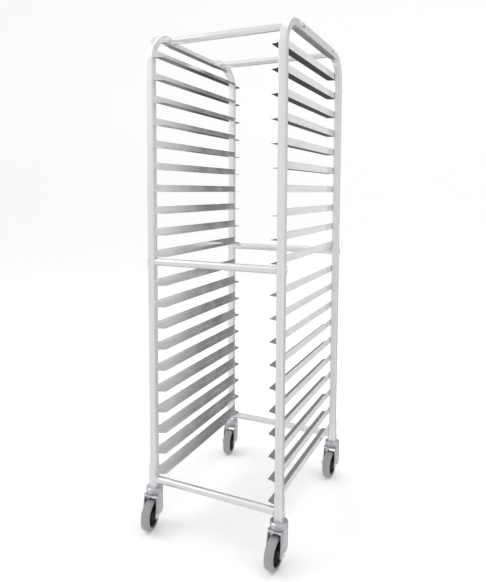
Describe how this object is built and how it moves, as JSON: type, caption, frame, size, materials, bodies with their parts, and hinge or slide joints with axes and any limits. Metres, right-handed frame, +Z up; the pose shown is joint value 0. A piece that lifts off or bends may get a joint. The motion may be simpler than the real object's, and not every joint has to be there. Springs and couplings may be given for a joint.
{
  "type": "sheet pan rack",
  "caption": "Tall open rack of square posts with bent tops, angled slides for sheet pans on both sides, round crossbars and swivel casters.",
  "frame": {"origin": "on the floor, midway between the four caster stems", "axes": "+Z up, +X to the right, -Y towards the loading side that the wheels trail towards"},
  "size_m": [0.547, 0.7572, 1.7561],
  "materials": {
    "mill_aluminium": "satin extruded aluminium tube",
    "slide_aluminium": "satin extruded aluminium angle",
    "zinc_steel": "bright zinc plated pressed steel",
    "bright_steel": "bright steel fastener",
    "dark_steel": "dark steel screw",
    "black_plastic": "moulded black plastic",
    "grey_tyre": "matte grey non-marking tread"
  },
  "bodies": {
    "root": {"post_front_left": "mill_aluminium", "post_front_right": "mill_aluminium", "post_rear_left": "mill_aluminium", "post_rear_right": "mill_aluminium", "crossbar_top_front": "mill_aluminium", "crossbar_top_rear": "mill_aluminium", "crossbar_mid_front": "mill_aluminium", "crossbar_mid_rear": "mill_aluminium", "crossbar_low_front": "mill_aluminium", "crossbar_low_rear": "mill_aluminium", "crossbar_end_plugs": "zinc_steel", "crossbar_bolts": "bright_steel", "top_collars": "mill_aluminium", "mid_collars": "mill_aluminium", "foot_sleeves": "mill_aluminium", "top_rail_left": "mill_aluminium", "top_rail_right": "mill_aluminium", "top_rail_screws": "dark_steel", "slide_pair_01": "slide_aluminium", "slide_pair_02": "slide_aluminium", "slide_pair_03": "slide_aluminium", "slide_pair_04": "slide_aluminium", "slide_pair_05": "slide_aluminium", "slide_pair_06": "slide_aluminium", "slide_pair_07": "slide_aluminium", "slide_pair_08": "slide_aluminium", "slide_pair_09": "slide_aluminium", "slide_pair_10": "slide_aluminium", "slide_pair_11": "slide_aluminium", "slide_pair_12": "slide_aluminium", "slide_pair_13": "slide_aluminium", "slide_pair_14": "slide_aluminium", "slide_pair_15": "slide_aluminium", "slide_pair_16": "slide_aluminium", "slide_pair_17": "slide_aluminium", "slide_pair_18": "slide_aluminium", "slide_pair_19": "slide_aluminium", "slide_pair_20": "slide_aluminium", "slide_rivets": "bright_steel", "stem_sockets": "zinc_steel", "caster_stems": "bright_steel", "swivel_caps": "zinc_steel", "swivel_balls": "bright_steel"},
    "swivel_front_left": {"fork_front_left": "zinc_steel", "axle_front_left": "bright_steel"},
    "wheel_front_left": {"wheel_core_front_left": "black_plastic", "tyre_front_left": "grey_tyre"},
    "swivel_front_right": {"fork_front_right": "zinc_steel", "axle_front_right": "bright_steel"},
    "wheel_front_right": {"wheel_core_front_right": "black_plastic", "tyre_front_right": "grey_tyre"},
    "swivel_rear_left": {"fork_rear_left": "zinc_steel", "axle_rear_left": "bright_steel"},
    "wheel_rear_left": {"wheel_core_rear_left": "black_plastic", "tyre_rear_left": "grey_tyre"},
    "swivel_rear_right": {"fork_rear_right": "zinc_steel", "axle_rear_right": "bright_steel"},
    "wheel_rear_right": {"wheel_core_rear_right": "black_plastic", "tyre_rear_right": "grey_tyre"}
  },
  "joints": [
    {"name": "caster_swivel_front_left", "type": "hinge", "parent": "root", "child": "swivel_front_left", "pos_m": [-0.2413, -0.3175, 0.13025], "axis": [0, 0, 1], "continuous": true},
    {"name": "wheel_spin_front_left", "type": "hinge", "parent": "swivel_front_left", "child": "wheel_front_left", "pos_m": [-0.2347, -0.35492, 0.053], "axis": [0.9848, 0.1736, 0], "continuous": true},
    {"name": "caster_swivel_front_right", "type": "hinge", "parent": "root", "child": "swivel_front_right", "pos_m": [0.2413, -0.3175, 0.13025], "axis": [0, 0, 1], "continuous": true},
    {"name": "wheel_spin_front_right", "type": "hinge", "parent": "swivel_front_right", "child": "wheel_front_right", "pos_m": [0.23997, -0.35548, 0.053], "axis": [0.9994, -0.0349, 0], "continuous": true},
    {"name": "caster_swivel_rear_left", "type": "hinge", "parent": "root", "child": "swivel_rear_left", "pos_m": [-0.2413, 0.3175, 0.13025], "axis": [0, 0, 1], "continuous": true},
    {"name": "wheel_spin_rear_left", "type": "hinge", "parent": "swivel_rear_left", "child": "wheel_rear_left", "pos_m": [-0.2347, 0.28008, 0.053], "axis": [0.9848, 0.1736, 0], "continuous": true},
    {"name": "caster_swivel_rear_right", "type": "hinge", "parent": "root", "child": "swivel_rear_right", "pos_m": [0.2413, 0.3175, 0.13025], "axis": [0, 0, 1], "continuous": true},
    {"name": "wheel_spin_rear_right", "type": "hinge", "parent": "swivel_rear_right", "child": "wheel_rear_right", "pos_m": [0.23997, 0.27952, 0.053], "axis": [0.9994, -0.0349, 0], "continuous": true}
  ]
}
